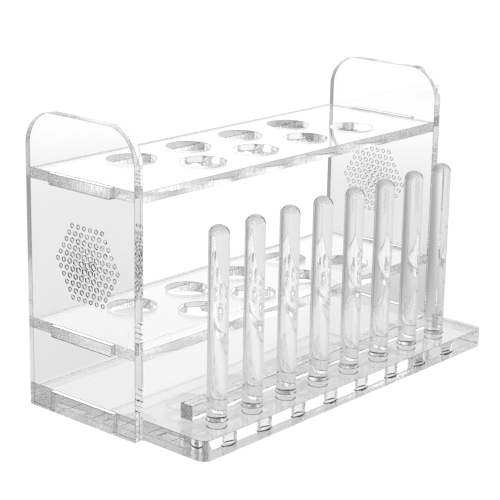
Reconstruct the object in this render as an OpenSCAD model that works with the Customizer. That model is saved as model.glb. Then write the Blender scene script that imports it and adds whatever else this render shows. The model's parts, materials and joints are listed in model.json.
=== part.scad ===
// Clear acrylic test tube rack with drying pegs.
// Two end panels carry two drilled shelves on tab-and-slot joints and stand over a
// thicker base plate, which runs forward under a row of round drying pegs.
// Frame: X along the length, -Y towards the pegs, +Z up. The origin is the centre
// of the footprint, on the surface that the rack stands on. Millimetres.

/* [Overall] */
// Length over the outer faces of the two end panels
rack_length = 233.5; // [225:0.5:260]
// Depth of the end panels and shelves, front to back
panel_depth = 72.5; // [70:0.5:90]
// Height of the end panels above the table
panel_height = 147; // [135:1:170]
// Radius of the two top corners of an end panel
panel_corner_radius = 17.5; // [5:0.5:28]
// How far the base plate runs forward of the end panels
base_overhang = 39; // [36:0.5:60]
// Radius of the two front corners of the base plate
base_corner_radius = 5; // [2:0.5:10]

/* [Sheet] */
// Thickness of the sheet that the end panels and shelves are cut from
sheet_thickness = 5.2; // [4:0.1:6]
// Thickness of the base plate
base_thickness = 10; // [8:0.5:12]
// Clearance on each side of a tab in its slot
tab_clearance = 0.15; // [0.05:0.05:0.3]
// Length of a shelf tab, front to back
shelf_tab_length = 40.5; // [30:0.5:45]
// Length of the base plate's tab at each end, front to back
base_tab_length = 42.5; // [30:0.5:46]

/* [Shelves] */
// Height of the top shelf's upper face above the table
top_shelf_height = 118.5; // [105:0.5:125]
// Height of the lower shelf's upper face above the table
lower_shelf_height = 43.7; // [30:0.1:60]
// Holes in each of the two rows
holes_per_row = 4; // [2:1:4]
// Diameter of a tube hole
hole_diameter = 22.8; // [14:0.1:24]
// Spacing of the holes along a row
hole_pitch = 38.7; // [36:0.1:40]
// First hole of the back row, from the outer face of the left end panel
first_hole_offset = 50.4; // [40:0.1:52]
// Front row's centre line, from the front edge of the shelves
front_row_offset = 23.7; // [20:0.1:25]
// Back row's centre line, from the front edge of the shelves
back_row_offset = 51.8; // [48:0.1:53]

/* [Drying pegs] */
// Number of drying pegs
peg_count = 8; // [4:1:8]
// Diameter of a peg, a solid round rod with a domed top
peg_diameter = 9.8; // [8:0.1:12]
// Height of the peg tops above the table
peg_height = 103.7; // [80:0.1:120]
// Spacing of the pegs
peg_pitch = 24.8; // [20:0.1:26]
// Peg row's centre line, from the front edge of the base plate
peg_row_offset = 15.5; // [12:0.1:16]
// How much the peg's foot is turned down on the radius, to leave a shoulder on the plate
spigot_step = 0.4; // [0.3:0.05:1]
// Chamfer on the edge of the shoulder
shoulder_chamfer = 0.2; // [0.1:0.05:0.3]
// Clearance all round the turned-down foot in its socket through the base plate
socket_clearance = 0.1; // [0.05:0.05:0.2]

/* [Rest bar] */
// Length of the square bar behind the pegs
bar_length = 194; // [150:1:200]
// Side of the square bar
bar_side = 7.4; // [5:0.1:8]
// Front face of the bar, from the front edge of the base plate
bar_offset = 21.5; // [21.5:0.1:25]

/* [Hidden] */
$fn = 96;
part_names = ["base_plate", "left_end_panel", "right_end_panel", "top_shelf", "lower_shelf", "rest_bar"];

acrylic = [0.86, 0.90, 0.93, 0.45];
overlap = 1;                                   // how far a cutter runs past a face
outer_x = rack_length / 2;                     // outer face of the right end panel
inner_x = outer_x - sheet_thickness;           // its inner face
base_front_y = -(panel_depth + base_overhang) / 2;
panel_front_y = base_front_y + base_overhang;
back_y = panel_front_y + panel_depth;
panel_mid_y = (panel_front_y + back_y) / 2;
first_hole_x = first_hole_offset - outer_x;
peg_row_y = base_front_y + peg_row_offset;
first_peg_x = -peg_pitch * (peg_count - 1) / 2;
spigot_radius = peg_diameter / 2 - spigot_step;
socket_radius = spigot_radius + socket_clearance;

// A plate of the given outline thickness, lying on z = 0, with its corner at x, y
module plate(x0, y0, x1, y1, thickness) {
    translate([x0, y0, 0]) cube([x1 - x0, y1 - y0, thickness]);
}

// Outline of the base plate between the end panels: square at the back, round at the front
module base_outline() {
    r = base_corner_radius;
    difference() {
        translate([-inner_x, base_front_y]) square([2 * inner_x, back_y - base_front_y]);
        for (side = [-1, 1])
            translate([side * (inner_x - r), base_front_y + r])
                difference() {
                    translate([side > 0 ? 0 : -r - overlap, -r - overlap]) square(r + overlap);
                    circle(r);
                }
    }
}

// Base plate with a tab at each end and a through socket for each peg
module base_plate() {
    color(acrylic)
    difference() {
        union() {
            linear_extrude(base_thickness) base_outline();
            plate(-outer_x, panel_mid_y - base_tab_length / 2,
                  outer_x, panel_mid_y + base_tab_length / 2, base_thickness);
        }
        for (i = [0:peg_count - 1])
            translate([first_peg_x + i * peg_pitch, peg_row_y, -overlap])
                cylinder(r = socket_radius, h = base_thickness + 2 * overlap);
    }
}

// Outline of an end panel in its own plane: x runs front to back, y is height
module panel_outline() {
    r = panel_corner_radius;
    square([panel_depth, panel_height - r]);
    translate([r, 0]) square([panel_depth - 2 * r, panel_height]);
    for (x = [r, panel_depth - r])
        translate([x, panel_height - r]) circle(r);
}

// Slot for a tab of the given length and thickness whose underside is at height z
module tab_slot(z, length, thickness) {
    translate([panel_depth / 2 - length / 2 - tab_clearance, z - tab_clearance])
        square([length + 2 * tab_clearance, thickness + 2 * tab_clearance]);
}

// End panel whose outer face is on the side given: -1 left, 1 right
module end_panel(side) {
    shelf_undersides = [top_shelf_height - sheet_thickness, lower_shelf_height - sheet_thickness];
    color(acrylic)
    translate([side > 0 ? inner_x : -outer_x, panel_front_y, 0])
        rotate([90, 0, 90])
            linear_extrude(sheet_thickness)
                difference() {
                    panel_outline();
                    for (z = shelf_undersides) tab_slot(z, shelf_tab_length, sheet_thickness);
                    tab_slot(-overlap, base_tab_length, base_thickness + overlap);
                }
}

// Shelf with two staggered rows of holes and a tab at each end
module shelf(upper_face) {
    color(acrylic)
    translate([0, 0, upper_face - sheet_thickness])
        difference() {
            union() {
                plate(-inner_x, panel_front_y, inner_x, back_y, sheet_thickness);
                plate(-outer_x, panel_mid_y - shelf_tab_length / 2,
                      outer_x, panel_mid_y + shelf_tab_length / 2, sheet_thickness);
            }
            for (i = [0:holes_per_row - 1]) {
                hole(first_hole_x + i * hole_pitch, panel_front_y + back_row_offset);
                hole(first_hole_x + (i + 0.5) * hole_pitch, panel_front_y + front_row_offset);
            }
        }
}

// Cutter for one tube hole through a shelf
module hole(x, y) {
    translate([x, y, -overlap]) cylinder(d = hole_diameter, h = sheet_thickness + 2 * overlap);
}

// Square bar that props the rims of tubes drying on the pegs
module rest_bar() {
    color(acrylic)
    translate([-bar_length / 2, base_front_y + bar_offset, base_thickness])
        cube([bar_length, bar_side, bar_side]);
}

// Round rod with a domed top: its foot is turned down to fill the socket, level with the
// underside, and the shoulder above it stands on the plate
module drying_peg(number) {
    r = peg_diameter / 2;
    wall_bottom = base_thickness + shoulder_chamfer;
    wall_top = peg_height - r;
    color(acrylic)
    translate([first_peg_x + (number - 1) * peg_pitch, peg_row_y, 0]) {
        cylinder(r = spigot_radius, h = base_thickness);
        translate([0, 0, base_thickness])
            cylinder(r1 = r - shoulder_chamfer, r2 = r, h = shoulder_chamfer);
        translate([0, 0, wall_bottom]) cylinder(r = r, h = wall_top - wall_bottom);
        translate([0, 0, wall_top]) intersection() {
            sphere(r);
            translate([-r, -r, 0]) cube([2 * r, 2 * r, r]);
        }
    }
}

base_plate();
end_panel(-1);  // left_end_panel
end_panel(1);  // right_end_panel
shelf(top_shelf_height);  // top_shelf
shelf(lower_shelf_height);  // lower_shelf
rest_bar();
for (i = [1:peg_count])
    drying_peg(i);
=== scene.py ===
"""Clear acrylic test tube rack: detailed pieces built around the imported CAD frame."""
import json
import math

import bmesh
import bpy
from mathutils import Matrix, Vector


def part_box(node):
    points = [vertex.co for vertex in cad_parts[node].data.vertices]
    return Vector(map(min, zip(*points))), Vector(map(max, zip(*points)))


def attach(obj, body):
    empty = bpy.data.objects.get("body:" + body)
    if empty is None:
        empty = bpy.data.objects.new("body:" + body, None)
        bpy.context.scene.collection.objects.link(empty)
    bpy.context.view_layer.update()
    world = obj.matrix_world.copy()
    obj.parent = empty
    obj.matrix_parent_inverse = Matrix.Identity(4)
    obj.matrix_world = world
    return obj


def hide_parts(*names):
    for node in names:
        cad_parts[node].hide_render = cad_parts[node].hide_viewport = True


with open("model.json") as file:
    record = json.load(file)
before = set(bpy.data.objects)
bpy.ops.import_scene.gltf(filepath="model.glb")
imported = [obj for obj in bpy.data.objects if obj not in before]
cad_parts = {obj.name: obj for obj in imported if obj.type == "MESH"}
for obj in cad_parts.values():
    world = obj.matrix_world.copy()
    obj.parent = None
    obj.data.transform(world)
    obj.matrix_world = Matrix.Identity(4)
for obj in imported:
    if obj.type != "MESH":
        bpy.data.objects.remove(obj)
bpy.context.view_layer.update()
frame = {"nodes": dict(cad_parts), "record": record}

# ---------------------------------------------------------------- sizes, in metres
MM = 0.001
SEAT_GAP = 0.02 * MM          # film left between two faces that touch
SHEET_ROUND = 0.1 * MM        # rounding of the sheets' laser-cut edges
PLATE_ROUND = 0.12 * MM       # rounding of the base plate's edges
SOCKET_ROUND = 0.35 * MM      # rounding of the rims of the peg sockets
BAR_ROUND = 0.2 * MM          # rounding of the bar's edges

PANEL_CORNER_RADIUS = 17.5 * MM
BASE_CORNER_RADIUS = 5 * MM
TAB_CLEARANCE = 0.15 * MM     # between a tab and its slot, on each side
SHELF_TAB = 40.5 * MM         # length of a shelf's tab, front to back
BASE_TAB = 42.5 * MM          # length of the base plate's tab
SPIGOT_STEP = 0.4 * MM        # how much a peg's foot is turned down, on the radius
SOCKET_CLEARANCE = 0.1 * MM   # between a peg's foot and its socket
FOOT_CHAMFER = 0.2 * MM       # on the sawn end of a peg's foot
FOOT_BAND = 0.8 * MM          # sawn end of a peg's foot, darkened in patches as painted shade
CEMENT_FILLET = 0.3 * MM      # ring of cement squeezed out round a peg's foot
WALL_MARGIN = 0.2 * MM        # short stretch of wall that keeps the shading even at each end
SOOT_REACH = 0.9 * MM         # soot on a slot's walls, from the outer face inwards

MOTIF_CENTRE = (41.5 * MM, 79 * MM)   # on a panel: along its depth, then up
MOTIF_RINGS = 5               # rings of cells round the middle cell
CELL_PITCH = 4 * MM
CELL_SIZE = 0.55              # corner radius of the middle cell, as a share of the pitch
CELL_SHRINK = 0.2             # how much of that share is lost by the outermost ring
GROOVE_DEPTH = 0.35 * MM
GROOVE_BOTTOM = 0.75          # size of the groove's bottom line, as a share of the cell
ISLAND = 0.5                  # size of the flat island inside it

TABLE_RADIUS = 6
TABLE_DROP = 0.2 * MM         # how far the table lies below the rack, so that they never meet

# ---------------------------------------------------------------- fineness of the meshes
ARC_STEP = math.radians(3)
SMOOTH_LIMIT = math.radians(12)   # an edge that turns by more than this stays sharp
LEAST_LEAN = 0.3              # limits how far a sharp corner moves when a loop is inset
ROUND_STEPS = 2               # faces across a rounded edge
TURNED_SEGMENTS = 96          # faces round a peg
DOME_STEPS = 24
FILLET_STEPS = 6
TABLE_SEGMENTS = 96

# ---------------------------------------------------------------- sizes read from the frame
PEG_COUNT = sum(name.startswith("drying_peg_") for name in frame["nodes"])
PEG_NUMBERS = range(1, PEG_COUNT + 1)
TUBE_HOLES = [mount for mount in frame["record"]["mounts"] if "tube_hole" in mount["name"]]
PANEL_LOW, PANEL_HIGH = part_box("left_end_panel")
BASE_LOW, BASE_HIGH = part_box("base_plate")
PEG_LOW, PEG_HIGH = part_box("drying_peg_1")
INNER_X = -PANEL_HIGH.x       # inner face of the right end panel; the left one mirrors it
OUTER_X = -PANEL_LOW.x
PANEL_DEPTH = PANEL_HIGH.y - PANEL_LOW.y
PANEL_MIDDLE_Y = (PANEL_LOW.y + PANEL_HIGH.y) / 2
PEG_RADIUS = (PEG_HIGH.x - PEG_LOW.x) / 2

# ---------------------------------------------------------------- kinds of face
# Each is the index of a material slot: the flat faces of a sheet, its outer edge and the
# rounded corners of that edge, the walls of its holes and their rounded rims, then the faces
# that meet another piece, the sooty walls of a panel's slots, and the engraving. A peg has
# the first three only, for its wall, for the end of its foot and for the cement round it.
FACE, EDGE, ARRIS, HOLE, RIM, JOINT, SLOT, ENGRAVING = range(8)

# A face looks along an axis if its unit normal reaches at least this far along it: usually
# half, less on a rounded corner, and more where a flat end is told from its chamfer.
HALF, SLIGHTLY, FULLY = 0.5, 0.3, 0.9
NEARBY = 1 * MM               # a face this near a plane counts as lying on it


# ---------------------------------------------------------------- outlines
def arc(centre, radius, start, end):
    """Points on an arc, from one angle to another, in degrees."""
    count = max(2, math.ceil(abs(math.radians(end - start)) / ARC_STEP))
    angles = [math.radians(start + (end - start) * i / count) for i in range(count + 1)]
    return [(centre[0] + radius * math.cos(a), centre[1] + radius * math.sin(a)) for a in angles]


def quarter_turn(steps):
    """Angles from 0 up to a right angle, both included."""
    return [math.pi / 2 * i / steps for i in range(steps + 1)]


def circle(centre, radius):
    return arc(centre, radius, 0, 360)[:-1]


def rectangle(low, high):
    return [(low[0], low[1]), (high[0], low[1]), (high[0], high[1]), (low[0], high[1])]


def inset(loop, distance):
    """A counterclockwise loop with its outline moved inwards by the distance."""
    moved = []
    for i, point in enumerate(loop):
        here = Vector(point)
        before = (here - Vector(loop[i - 1])).normalized()
        after = (Vector(loop[(i + 1) % len(loop)]) - here).normalized()
        inwards = Vector((-before.y - after.y, before.x + after.x)).normalized()
        lean = max(LEAST_LEAN, inwards.dot(Vector((-before.y, before.x))))
        moved.append(here + inwards * (distance / lean))
    return moved


# ---------------------------------------------------------------- mesh helpers
def add_ring(bm, loop, height):
    return [bm.verts.new((point[0], point[1], height)) for point in loop]


def bridge(bm, lower, upper, kind):
    """A band of faces from one ring to the next."""
    count = len(lower)
    for i in range(count):
        j = (i + 1) % count
        face = bm.faces.new((lower[i], lower[j], upper[j], upper[i]))
        face.material_index = kind
        face.smooth = True


def fill(bm, rings, up):
    """A flat face, cut into triangles, inside the first ring and outside the others."""
    edges = []
    for ring in rings:
        for pair in zip(ring, ring[1:] + ring[:1]):
            edges.append(bm.edges.get(pair) or bm.edges.new(pair))
    made = bmesh.ops.triangle_fill(bm, use_beauty=True, use_dissolve=False, edges=edges)
    for face in made["geom"]:
        if isinstance(face, bmesh.types.BMFace):
            face.normal_update()
            if (face.normal.z > 0) != up:
                face.normal_flip()
            face.smooth = True


def finished(bm, name):
    """The mesh, with every edge that turns by more than the smooth limit kept sharp."""
    bm.normal_update()
    for edge in bm.edges:
        edge.smooth = len(edge.link_faces) == 2 and edge.calc_face_angle() < SMOOTH_LIMIT
    mesh = bpy.data.meshes.new(name)
    bm.to_mesh(mesh)
    bm.free()
    return mesh


def edge_profile(thickness, rounding):
    """(inset, height) pairs up the edge of a sheet whose two corners are rounded."""
    lower = [(rounding * (1 - math.sin(a)), rounding * (1 - math.cos(a)))
             for a in quarter_turn(ROUND_STEPS)]
    return lower + [(depth, thickness - height) for depth, height in reversed(lower)]


def engrave(bm, cell, height, depth):
    """A V groove round a small island, cut down from the height; gives back its outer rim."""
    middle = sum((Vector(point) for point in cell), Vector((0, 0))) / len(cell)
    rings = []
    for size, level in ((1, height), (GROOVE_BOTTOM, height - depth), (ISLAND, height)):
        loop = [middle + (Vector(point) - middle) * size for point in cell]
        rings.append(add_ring(bm, loop, level))
    for outer, inner in zip(rings, rings[1:]):
        bridge(bm, outer, inner, ENGRAVING)
    bm.faces.new(rings[-1])
    return rings[0]


def sheet_mesh(outline, holes, thickness, rounding, rim=None, cells=()):
    """A sheet lying on z = 0, with through holes and with cells engraved in its top face.

    The corners of its outer edge are rounded, and so are the rims of its holes: by the same
    radius, unless they have one of their own.
    """
    bm = bmesh.new()
    bottoms, tops = [], []
    for loop, inwards in [(outline, 1)] + [(hole, -1) for hole in holes]:
        corner = rounding if inwards > 0 or rim is None else rim
        wall, rounded = (EDGE, ARRIS) if inwards > 0 else (HOLE, RIM)
        rings = [add_ring(bm, inset(loop, inwards * across), height)
                 for across, height in edge_profile(thickness, corner)]
        for lower, upper in zip(rings, rings[1:]):
            flat = upper[0].co.z - lower[0].co.z > thickness / 2
            bridge(bm, lower[::inwards], upper[::inwards], wall if flat else rounded)
        bottoms.append(rings[0])
        tops.append(rings[-1])
    for cell in cells:
        tops.append(engrave(bm, cell, thickness, GROOVE_DEPTH))
    fill(bm, bottoms, False)
    fill(bm, tops, True)
    return finished(bm, "sheet")


def turned_mesh(profile):
    """A solid of revolution about z, from (radius, height) pairs that start and end on it."""
    bm = bmesh.new()
    turns = [2 * math.pi * i / TURNED_SEGMENTS for i in range(TURNED_SEGMENTS)]
    start = bm.verts.new((0, 0, profile[0][1]))
    end = bm.verts.new((0, 0, profile[-1][1]))
    rings = [add_ring(bm, [(r * math.cos(a), r * math.sin(a)) for a in turns], z)
             for r, z in profile[1:-1]]
    for lower, upper in zip(rings, rings[1:]):
        bridge(bm, lower, upper, FACE)
    for i in range(TURNED_SEGMENTS):
        j = (i + 1) % TURNED_SEGMENTS
        bm.faces.new((start, rings[0][j], rings[0][i])).smooth = True
        bm.faces.new((end, rings[-1][i], rings[-1][j])).smooth = True
    return finished(bm, "turned")


def mark_faces(mesh, old_kinds, new_kind, test):
    """Changes the kind of those faces whose centre and normal pass the test."""
    for face in mesh.polygons:
        if face.material_index in old_kinds and test(face.center, face.normal):
            face.material_index = new_kind


def add_piece(name, mesh, node, materials):
    """A piece that stands for one CAD node."""
    piece = bpy.data.objects.new(name, mesh)
    bpy.context.scene.collection.objects.link(piece)
    for material in materials:
        mesh.materials.append(material)
    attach(piece, "root")
    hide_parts(node)


# ---------------------------------------------------------------- shader helpers
def link_or_set(tree, socket, value):
    if isinstance(value, bpy.types.NodeSocket):
        tree.links.new(value, socket)
    else:
        socket.default_value = value


def calculate(tree, operation, first, second=0.0):
    node = tree.nodes.new("ShaderNodeMath")
    node.operation = operation
    link_or_set(tree, node.inputs[0], first)
    link_or_set(tree, node.inputs[1], second)
    return node.outputs[0]


def measure(tree, operation, vector, other=(0, 0, 0)):
    """A number made from a vector, or from a vector and a constant one."""
    node = tree.nodes.new("ShaderNodeVectorMath")
    node.operation = operation
    tree.links.new(vector, node.inputs[0])
    node.inputs[1].default_value = other
    return node.outputs["Value"]


def along(tree, vector, direction):
    """How far a vector reaches in a direction."""
    return measure(tree, "DOT_PRODUCT", vector, direction)


def grey_ramp(tree, value, *stops):
    """A smooth grey ramp through (position, level) pairs; positions are from 0 to 1."""
    ramp = tree.nodes.new("ShaderNodeValToRGB")
    ramp.color_ramp.interpolation = "EASE"
    elements = ramp.color_ramp.elements
    while len(elements) < len(stops):
        elements.new(1.0)
    for element, (position, level) in zip(elements, stops):
        element.position = position
        element.color = (level, level, level, 1)
    tree.links.new(value, ramp.inputs["Fac"])
    return ramp.outputs["Color"]


def blended(tree, share, first, second):
    """First where share is 0, second where it is 1; both are grey levels or sockets."""
    node = tree.nodes.new("ShaderNodeMix")
    node.data_type = "RGBA"
    sockets = {s.name: s for s in node.inputs if s.enabled}
    link_or_set(tree, sockets["Factor"], share)
    for name, value in (("A", first), ("B", second)):
        grey = isinstance(value, float)
        link_or_set(tree, sockets[name], (value, value, value, 1) if grey else value)
    return next(s for s in node.outputs if s.enabled)


def object_place(tree):
    """Where a point of the object is, in the shared frame."""
    return tree.nodes.new("ShaderNodeTexCoord").outputs["Object"]


def noise(tree, scale, detail, stretch=(1, 1, 1)):
    """Fractal noise, in cells per metre, drawn out along an axis whose stretch is small."""
    mapping = tree.nodes.new("ShaderNodeMapping")
    mapping.inputs["Scale"].default_value = stretch
    tree.links.new(object_place(tree), mapping.inputs["Vector"])
    node = tree.nodes.new("ShaderNodeTexNoise")
    node.inputs["Scale"].default_value = scale
    node.inputs["Detail"].default_value = detail
    tree.links.new(mapping.outputs["Vector"], node.inputs["Vector"])
    return node.outputs["Fac"]


def bump(tree, height, depth, under=None):
    """A normal tilted by a height pattern of the given depth, on top of another normal."""
    node = tree.nodes.new("ShaderNodeBump")
    node.inputs["Distance"].default_value = depth
    tree.links.new(height, node.inputs["Height"])
    if under is not None:
        tree.links.new(under, node.inputs["Normal"])
    return node.outputs["Normal"]


# ---------------------------------------------------------------- materials
ACRYLIC_IOR = 1.49
HALF_GREY = (0.5, 0.5, 0.5, 1)
ABSORPTION = 1.2              # with half grey, 0.6 per metre is taken up
STAINED_TINT = 0.6
STAIN_LEVEL = 0.35            # cement is stained where its noise is below this
STAIN_FADE = 0.12             # width of the step from stained to clear, in noise levels
COVER_FADE = 0.05              # the same, from the dark cover to clear
DASH_LEVEL = 0.47             # a slot's wall is sooty where its noise is below this
DASH_FADE = 0.04


def acrylic(name, tint):
    """The clear body of every piece: acrylic that bends light and takes up a little of it."""
    material = bpy.data.materials.new(name)
    material.use_nodes = True
    tree = material.node_tree
    shader = tree.nodes["Principled BSDF"]
    shader.inputs["Base Color"].default_value = (tint, tint, tint, 1)
    shader.inputs["IOR"].default_value = ACRYLIC_IOR
    shader.inputs["Transmission Weight"].default_value = 1.0
    body = tree.nodes.new("ShaderNodeVolumeAbsorption")
    body.inputs["Color"].default_value = HALF_GREY
    body.inputs["Density"].default_value = ABSORPTION
    tree.links.new(body.outputs[0], tree.nodes["Material Output"].inputs["Volume"])
    return material, tree, shader


def polished_face(name, tint):
    """Factory surface: nearly a mirror, with a faint roll of the casting and a light haze."""
    material, tree, shader = acrylic(name, tint)
    haze = grey_ramp(tree, noise(tree, scale=60, detail=4), (0.5, 0.0), (0.8, 0.05))
    tree.links.new(haze, shader.inputs["Roughness"])
    roll = noise(tree, scale=25, detail=1)
    tree.links.new(bump(tree, roll, depth=0.02 * MM), shader.inputs["Normal"])
    return material


def cut_edge(name, tint, across, depth, roughness=0.03):
    """Laser-cut edge: fine lines across the sheet, with patches of coarser chatter."""
    material, tree, shader = acrylic(name, tint)
    drawn_out = [0.03 if axis == across else 1 for axis in "xyz"]
    lines = noise(tree, scale=2200, detail=2, stretch=drawn_out)
    patches = grey_ramp(tree, noise(tree, scale=45, detail=1), (0.5, 0.0), (0.65, 1.0))
    pits = calculate(tree, "MULTIPLY", noise(tree, scale=1100, detail=2), patches)
    lined = bump(tree, lines, depth)
    pitted = bump(tree, pits, depth=0.008 * MM, under=lined)
    tree.links.new(pitted, shader.inputs["Normal"])
    shader.inputs["Roughness"].default_value = roughness
    return material


def corner_with_painted_shade(name, tint):
    """The corner of a cut: melted round, with its colour darkened in patches as painted shade,
    so that it draws a fine grey line.
    """
    material, tree, shader = acrylic(name, tint)
    # painted shade: the base colour darkens in patches to draw a grey line along the corner
    dark_cover = grey_ramp(tree, noise(tree, scale=700, detail=2), (0.35, tint / 2), (0.6, tint))
    tree.links.new(dark_cover, shader.inputs["Base Color"])
    grain = noise(tree, scale=1500, detail=2)
    tree.links.new(bump(tree, grain, depth=0.02 * MM), shader.inputs["Normal"])
    shader.inputs["Roughness"].default_value = 0.15
    return material


def plate_edge(name, tint):
    """Edge of the thick plate: smooth in its upper half, dragged into ripples lower down."""
    material, tree, shader = acrylic(name, tint)
    height = calculate(tree, "DIVIDE", along(tree, object_place(tree), (0, 0, 1)), BASE_HIGH.z)
    drag = grey_ramp(tree, height, (0.3, 1.0), (0.45, 0.05))
    waves = noise(tree, scale=900, detail=3, stretch=(1, 1, 0.4))
    ripples = calculate(tree, "MULTIPLY", waves, drag)
    tree.links.new(bump(tree, ripples, depth=0.12 * MM), shader.inputs["Normal"])
    shader.inputs["Roughness"].default_value = 0.02
    return material


def cemented_joint(name, tint):
    """Faces wetted by solvent cement: clear where it took, beaded and stained elsewhere."""
    material, tree, shader = acrylic(name, tint)
    beads = grey_ramp(tree, noise(tree, scale=1300, detail=2), (0.4, 0.0), (0.6, 1.0))
    tree.links.new(bump(tree, beads, depth=0.08 * MM), shader.inputs["Normal"])
    blots = noise(tree, scale=1000, detail=2)
    stained = (STAIN_LEVEL, STAINED_TINT)
    stain = grey_ramp(tree, blots, stained, (STAIN_LEVEL + STAIN_FADE, tint))
    tree.links.new(stain, shader.inputs["Base Color"])
    specks = grey_ramp(tree, noise(tree, scale=1900, detail=1), (0.36, 0.0), (0.42, 1.0))
    tree.links.new(specks, shader.inputs["Transmission Weight"])
    shader.inputs["Roughness"].default_value = 0.1
    return material


def add_dark_cover(tree, shader, pattern, dark_cover, fade, dark, clear):
    """Opaque dark cover where the pattern is below a level: soot on a slot's walls, dark marks
    in the engraving and on cement, and painted shade on rounded edges, rims and the left panel's
    engraving; dark and clear are (tint, roughness).
    """
    looks = {"Transmission Weight": (0.0, 1.0), "Base Color": (dark[0], clear[0]),
             "Roughness": (dark[1], clear[1])}
    for socket, (sooty, clean) in looks.items():
        level = grey_ramp(tree, pattern, (dark_cover, sooty), (dark_cover + fade, clean))
        tree.links.new(level, shader.inputs[socket])
    tree.links.new(bump(tree, pattern, depth=0.05 * MM), shader.inputs["Normal"])


def scorched_slot(name, tint):
    """Walls of a cut slot: clear, with soot left in short dashes by the outer face."""
    material, tree, shader = acrylic(name, tint)
    sideways = calculate(tree, "ABSOLUTE", along(tree, object_place(tree), (1, 0, 0)))
    reach = calculate(tree, "SUBTRACT", sideways, OUTER_X - SOOT_REACH)
    share = calculate(tree, "DIVIDE", reach, SOOT_REACH)
    inside = grey_ramp(tree, share, (0.0, 0.4), (0.2, 0.0))
    dashes = noise(tree, scale=1800, detail=1, stretch=(0.1, 1, 0.1))
    pattern = calculate(tree, "ADD", dashes, inside)
    dark = (0.02, 1.0)
    add_dark_cover(tree, shader, pattern, DASH_LEVEL, DASH_FADE, dark, clear=(tint, 0.08))
    return material


def dark_marks_and_painted_shade(name, tint, dark_cover, scale=900):
    """Acrylic touched by the laser: crazed, and clear except where an opaque dark cover lies on
    it: dark marks in the engraving and on cement, painted shade on rounded edges and rims.
    """
    material, tree, shader = acrylic(name, tint)
    grain = noise(tree, scale, detail=3)
    dark = (0.03, 0.9)
    add_dark_cover(tree, shader, grain, dark_cover, COVER_FADE, dark, clear=(tint, 0.12))
    return material


def drawn_rod(name, tint):
    """Extruded rod: faint lines left along its length by the die, and a light haze."""
    material, tree, shader = acrylic(name, tint)
    lines = noise(tree, scale=500, detail=2, stretch=(1, 1, 0.01))
    tree.links.new(bump(tree, lines, depth=0.006 * MM), shader.inputs["Normal"])
    haze = grey_ramp(tree, noise(tree, scale=150, detail=4), (0.55, 0.0), (0.8, 0.06))
    tree.links.new(haze, shader.inputs["Roughness"])
    return material


# ---------------------------------------------------------------- engraved motif
def hexagon(centre, radius):
    """Six corners, with one of them straight up."""
    turns = [math.pi / 3 * i + math.pi / 6 for i in range(6)]
    return [(centre[0] + radius * math.cos(a), centre[1] + radius * math.sin(a)) for a in turns]


def honeycomb(centre, rings, pitch):
    """Hexagonal cells on a honeycomb grid, smaller towards the rim of the patch."""
    cells = []
    for row in range(-rings, rings + 1):
        for column in range(-rings, rings + 1):
            distance = max(abs(row), abs(column), abs(row + column))
            if distance > rings:
                continue
            x = centre[0] + pitch * (column + row / 2)
            y = centre[1] + pitch * row * math.sqrt(3) / 2
            cells.append(hexagon((x, y), pitch * (CELL_SIZE - CELL_SHRINK * distance / rings)))
    return cells


# ---------------------------------------------------------------- end panels
def tab_slot(node):
    """Outline of the slot in an end panel that takes a shelf's tab."""
    low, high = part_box(node)
    half = SHELF_TAB / 2 + TAB_CLEARANCE
    return rectangle((PANEL_DEPTH / 2 - half, low.z - TAB_CLEARANCE),
                     (PANEL_DEPTH / 2 + half, high.z + TAB_CLEARANCE))


def panel_outline():
    """Outline of an end panel: x runs along its depth, y is height."""
    r = PANEL_CORNER_RADIUS
    height = PANEL_HIGH.z
    half = BASE_TAB / 2 + TAB_CLEARANCE
    middle = PANEL_DEPTH / 2
    notch = BASE_HIGH.z + TAB_CLEARANCE
    foot = [(0, 0), (middle - half, 0), (middle - half, notch), (middle + half, notch),
            (middle + half, 0), (PANEL_DEPTH, 0)]
    return (foot + arc((PANEL_DEPTH - r, height - r), r, 0, 90)
            + arc((r, height - r), r, 90, 180))


def in_low_slot(centre, normal):
    """True on the level walls of an end panel's lower slot and notch."""
    between = abs(centre.x - PANEL_DEPTH / 2) < BASE_TAB / 2
    low = NEARBY < centre.y < PANEL_HIGH.z / 2
    return between and low and abs(normal.y) > HALF


def end_panel(node, materials):
    """End panel, engraved on its outer face; both are cut alike and turned to face outwards."""
    low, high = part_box(node)
    motif = honeycomb(MOTIF_CENTRE, MOTIF_RINGS, CELL_PITCH)
    slots = [tab_slot("lower_shelf"), tab_slot("top_shelf")]
    mesh = sheet_mesh(panel_outline(), slots, high.x - low.x, SHEET_ROUND, cells=motif)
    mark_faces(mesh, (EDGE, HOLE), SLOT, in_low_slot)
    if node.startswith("left"):
        turn = Matrix(((0, 0, -1, high.x), (-1, 0, 0, high.y), (0, 1, 0, 0), (0, 0, 0, 1)))
    else:
        turn = Matrix(((0, 0, 1, low.x), (1, 0, 0, low.y), (0, 1, 0, 0), (0, 0, 0, 1)))
    mesh.transform(turn)
    add_piece(node + "_sheet", mesh, node, materials)


# ---------------------------------------------------------------- shelves and base plate
def tabbed_outline(front, tab, corner=0.0):
    """Outline of a sheet between the end panels, with a tab through each of them."""
    inner = INNER_X - SEAT_GAP
    half = tab / 2
    back = PANEL_HIGH.y
    if corner:
        start = (arc((-inner + corner, front + corner), corner, 180, 270)
                 + arc((inner - corner, front + corner), corner, 270, 360))
    else:
        start = [(-inner, front), (inner, front)]
    right = [(inner, PANEL_MIDDLE_Y - half), (OUTER_X, PANEL_MIDDLE_Y - half),
             (OUTER_X, PANEL_MIDDLE_Y + half), (inner, PANEL_MIDDLE_Y + half), (inner, back)]
    return start + right + [(-x, y) for x, y in reversed(right)]


def looks_sideways(centre, normal):
    """True on a face that looks left or right."""
    return abs(normal.x) > HALF


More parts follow.
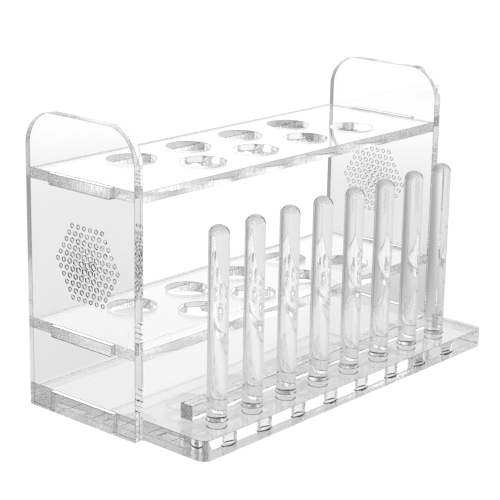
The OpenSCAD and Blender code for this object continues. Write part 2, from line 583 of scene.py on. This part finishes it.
def meets_panel(centre, normal):
    """True on the end faces that are cemented to an end panel."""
    at_panel = INNER_X - NEARBY < abs(centre.x) < INNER_X and centre.y > PANEL_LOW.y
    return at_panel and looks_sideways(centre, normal)


def beside_tab(centre, normal):
    """True on the two sides of a tab."""
    return abs(centre.x) > INNER_X and abs(normal.y) > HALF


def off_the_front(centre, normal):
    """True on the rounded corners along the sides and the back of the base plate."""
    return abs(normal.x) > SLIGHTLY or normal.y > SLIGHTLY


def shelf(node, materials):
    """Shelf with a tab at each end and its tube holes, which are where the mounts are."""
    low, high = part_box(node)
    holes = [circle(mount["pos_m"][:2], mount["dims"]["r_mm"] * MM) for mount in TUBE_HOLES]
    mesh = sheet_mesh(tabbed_outline(low.y, SHELF_TAB), holes, high.z - low.z, SHEET_ROUND)
    mark_faces(mesh, (EDGE,), JOINT, meets_panel)
    mark_faces(mesh, (EDGE,), JOINT, beside_tab)
    mesh.transform(Matrix.Translation((0, 0, low.z)))
    add_piece(node + "_sheet", mesh, node, materials)


def peg_centre(number):
    """Middle of a peg's box, which lies on the peg's axis."""
    low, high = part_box("drying_peg_%d" % number)
    return (low + high) / 2


def base_plate(materials):
    """Base plate with a tab at each end, rounded front corners and a socket for each peg."""
    radius = PEG_RADIUS - SPIGOT_STEP + SOCKET_CLEARANCE
    sockets = [circle(peg_centre(number).xy, radius) for number in PEG_NUMBERS]
    outline = tabbed_outline(BASE_LOW.y, BASE_TAB, BASE_CORNER_RADIUS)
    mesh = sheet_mesh(outline, sockets, BASE_HIGH.z, PLATE_ROUND, SOCKET_ROUND)
    mark_faces(mesh, (EDGE,), JOINT, meets_panel)
    mark_faces(mesh, (EDGE,), JOINT, beside_tab)
    mark_faces(mesh, (ARRIS,), RIM, off_the_front)
    add_piece("base_plate_sheet", mesh, "base_plate", materials)


# ---------------------------------------------------------------- pegs and bar
def peg_profile(top):
    """(radius, height) pairs from the foot of a peg, over the shoulder, to its domed top."""
    plate = BASE_HIGH.z + SEAT_GAP
    foot = PEG_RADIUS - SPIGOT_STEP
    dome_base = top - PEG_RADIUS
    spigot = [(0, 0), (foot - FOOT_CHAMFER, 0), (foot, FOOT_CHAMFER), (foot, plate)]
    fillet = [(PEG_RADIUS + CEMENT_FILLET * (1 - math.sin(a)),
               plate + CEMENT_FILLET * (1 - math.cos(a))) for a in quarter_turn(FILLET_STEPS)]
    wall = [(PEG_RADIUS, plate + CEMENT_FILLET + WALL_MARGIN),
            (PEG_RADIUS, dome_base - WALL_MARGIN)]
    dome = [(PEG_RADIUS * math.cos(a), dome_base + PEG_RADIUS * math.sin(a))
            for a in quarter_turn(DOME_STEPS)[:-1]]
    return spigot + fillet + wall + dome + [(0, top)]


def on_foot(centre, normal):
    """True round the end of a peg's foot, but not on its underside."""
    return centre.z < FOOT_BAND and normal.z > -FULLY


def on_cement(centre, normal):
    """True on the lower half of the cement round a peg's foot."""
    return BASE_HIGH.z < centre.z < BASE_HIGH.z + SEAT_GAP + CEMENT_FILLET / 2


def drying_peg(number, materials):
    """Round rod with a domed top, whose turned-down foot fills its socket."""
    node = "drying_peg_%d" % number
    centre = peg_centre(number)
    mesh = turned_mesh(peg_profile(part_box(node)[1].z))
    mark_faces(mesh, (FACE,), EDGE, on_foot)
    mark_faces(mesh, (FACE,), ARRIS, on_cement)
    mesh.transform(Matrix.Translation((centre.x, centre.y, 0)))
    add_piece(node + "_rod", mesh, node, materials)


def rest_bar(materials):
    """Square bar behind the pegs, with sawn ends."""
    low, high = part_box("rest_bar")
    mesh = sheet_mesh(rectangle(low.xy, high.xy), [], high.z - low.z - SEAT_GAP, BAR_ROUND)
    mark_faces(mesh, (EDGE,), JOINT, looks_sideways)
    mesh.transform(Matrix.Translation((0, 0, low.z + SEAT_GAP)))
    add_piece("rest_bar_rod", mesh, "rest_bar", materials)


# ---------------------------------------------------------------- stage, light and camera
BACK = (0.754, 0.657, 0)      # away from the camera, level
RIGHT = (0.54, -0.84, 0)      # to the camera's right and a little towards it
REARWARDS = (-0.3, 0.95, 0)   # from the pegs to the back of the rack
FRONT_REACH = 0.15            # how far in front of the rack's middle the table's glow starts to rise out of the painted shadow of the rack
EXPOSURE = 0.05               # in stops
PATH_BOUNCES = 64             # enough for light to run the length of an edge

CAMERA_PLACE = (-0.60319, -0.50911, 0.29374)
CAMERA_TURN = (73.8578, -1.0136, -48.6144)   # in degrees, about X, then Y, then Z
CAMERA_LENS = 116.12          # focal length and sensor width in millimetres
CAMERA_SENSOR = 36


def seen_white(tree, level, shader_input):
    """What the camera sees past the object is plain white; the object meets the real level."""
    path = tree.nodes.new("ShaderNodeLightPath")
    shown = blended(tree, path.outputs["Is Camera Ray"], level, 1.0)
    tree.links.new(shown, shader_input)


def table_material():
    """Glow of the table, with painted shade in it: a painted shadow of the rack, dimmest just in
    front of it, and painted shade to its right; bright behind it.
    """
    material = bpy.data.materials.new("light_table")
    material.use_nodes = True
    tree = material.node_tree
    tree.nodes.clear()
    place = tree.nodes.new("ShaderNodeNewGeometry").outputs["Position"]
    distance = measure(tree, "LENGTH", place)
    depth = calculate(tree, "ADD", along(tree, place, REARWARDS), FRONT_REACH)
    # painted shadow of the rack: the glow is dimmest just in front of the rack and brightens
    # behind it
    painted_rack_shadow = grey_ramp(tree, depth,
                     (0.0, 0.3), (0.08, 0.62), (0.14, 0.64), (0.18, 0.74), (0.4, 0.82))
    pool = grey_ramp(tree, distance, (0.15, 0.82), (0.35, 0.82), (0.7, 1.0))
    aside = calculate(tree, "DIVIDE", along(tree, place, RIGHT), distance)
    # painted shade: further out, the glow dims towards the camera's right
    painted_shade_right = grey_ramp(tree, aside, (0.15, 1.0), (0.6, 0.5), (1.0, 0.3))
    far = calculate(tree, "MULTIPLY", pool, painted_shade_right)
    outwards = grey_ramp(tree, distance, (0.1, 0.0), (0.3, 1.0))
    glow = tree.nodes.new("ShaderNodeEmission")
    seen_white(tree, blended(tree, outwards, painted_rack_shadow, far), glow.inputs["Color"])
    output = tree.nodes.new("ShaderNodeOutputMaterial")
    tree.links.new(glow.outputs[0], output.inputs["Surface"])
    return material


def light_table():
    """Round table top, which glows and so lights the rack from below."""
    bm = bmesh.new()
    bmesh.ops.create_circle(bm, cap_ends=True, segments=TABLE_SEGMENTS, radius=TABLE_RADIUS)
    mesh = bpy.data.meshes.new("table")
    bm.to_mesh(mesh)
    bm.free()
    mesh.materials.append(table_material())
    table = bpy.data.objects.new("table", mesh)
    table.location.z = -TABLE_DROP
    bpy.context.scene.collection.objects.link(table)


def studio():
    """A white sweep straight behind and a grey room all round, dark on the right.

    Higher up it darkens all round, and a soft light hangs straight overhead.
    """
    world = bpy.data.worlds.new("studio")
    bpy.context.scene.world = world
    world.use_nodes = True
    tree = world.node_tree
    way = tree.nodes.new("ShaderNodeTexCoord").outputs["Generated"]
    height = along(tree, way, (0, 0, 1))
    overhead = ((0.8, 0.1), (0.97, 0.8))
    sweep = grey_ramp(tree, height, (0.0, 1.25), (0.4, 1.3), (0.7, 1.0), *overhead)
    room = grey_ramp(tree, height, (0.0, 0.8), (0.4, 0.85), (0.7, 0.8), *overhead)
    dim = grey_ramp(tree, height, (0.0, 0.8), (0.4, 0.8), (0.48, 0.15), (0.85, 0.1), (0.97, 0.8))
    behind = grey_ramp(tree, along(tree, way, BACK), (0.72, 0.0), (0.9, 1.0))
    aside = grey_ramp(tree, along(tree, way, RIGHT), (0.2, 0.0), (0.7, 1.0))
    level = blended(tree, behind, blended(tree, aside, room, dim), sweep)
    seen_white(tree, level, tree.nodes["Background"].inputs["Color"])


def camera():
    """Camera fitted to the view in the photograph."""
    data = bpy.data.cameras.new("camera")
    data.lens = CAMERA_LENS
    data.sensor_width = CAMERA_SENSOR
    item = bpy.data.objects.new("camera", data)
    item.location = CAMERA_PLACE
    item.rotation_euler = [math.radians(turn) for turn in CAMERA_TURN]
    bpy.context.scene.collection.objects.link(item)
    bpy.context.scene.camera = item


def light_paths():
    """Enough bounces for clear acrylic, and a plain view transform."""
    scene = bpy.context.scene
    scene.view_settings.view_transform = "Standard"
    scene.view_settings.exposure = EXPOSURE
    cycles = scene.cycles
    cycles.max_bounces = PATH_BOUNCES
    cycles.transmission_bounces = PATH_BOUNCES
    cycles.glossy_bounces = PATH_BOUNCES // 2
    cycles.diffuse_bounces = 3
    cycles.caustics_reflective = True
    cycles.caustics_refractive = True


# ---------------------------------------------------------------- the whole scene
def add_panels(face, corner, joint):
    """Both end panels; the left one's engraving has more dark cover, painted shade that makes it
    look darker than the right one's.
    """
    edge = cut_edge("panel_cut_edge", 0.97, "x", 0.01 * MM)
    slot = scorched_slot("slot_wall", 0.95)
    # painted shade: the left panel's grooves get more dark cover than the right one's, so they
    # look darker
    left_groove = dark_marks_and_painted_shade("groove_painted_shade", 0.7, dark_cover=0.4)
    right_groove = dark_marks_and_painted_shade("plain_groove", 0.6, dark_cover=0.3)
    for node, groove in (("left_end_panel", left_groove), ("right_end_panel", right_groove)):
        end_panel(node, (face, edge, corner, edge, corner, joint, slot, groove))


def add_shelves(face, corner, joint):
    """Both shelves."""
    edge = cut_edge("shelf_cut_edge", 1.0, "z", 0.35 * MM, roughness=0.08)
    hole = cut_edge("hole_wall", 0.98, "z", 0.03 * MM)
    for node in ("lower_shelf", "top_shelf"):
        shelf(node, (face, edge, corner, hole, corner, joint))


def add_base(face, joint):
    """Base plate with the bar and the pegs that stand on it."""
    edge = plate_edge("plate_edge", 0.93)
    # painted shade: the plate's front corners are darkened in patches to draw a grey line along
    # them
    corner = corner_with_painted_shade("plate_corner_painted_shade", 0.85)
    # painted shade: the dark cover on the socket rims, on the plate's side and back corners and
    # on the ends of the pegs' feet draws the dark arcs and lines seen there
    rim = dark_marks_and_painted_shade("socket_rim_painted_shade", 0.5, dark_cover=0.6)
    base_plate((face, edge, corner, face, rim, joint))
    # a dark stain on the cement round the pegs' feet, and painted shade on the bar's rounded
    # corners
    stained = dark_marks_and_painted_shade("corner_stain_and_painted_shade", 0.6, dark_cover=0.45)
    sawn = cemented_joint("sawn_end", 0.85)
    rest_bar((face, edge, stained, edge, stained, sawn))
    rod = drawn_rod("drawn_rod", 0.97)
    for number in PEG_NUMBERS:
        drying_peg(number, (rod, rim, stained))


def main():
    face = polished_face("sheet_face", 0.97)
    # painted shade: dark cover on the sheets' rounded corners and hole rims draws dark lines
    # along them
    corner = dark_marks_and_painted_shade("sheet_corner_painted_shade", 0.5, dark_cover=0.6, scale=1500)
    joint = cemented_joint("cemented_face", 0.97)
    add_panels(face, corner, joint)
    add_shelves(face, corner, joint)
    add_base(face, joint)
    light_table()
    studio()
    camera()
    light_paths()


main()
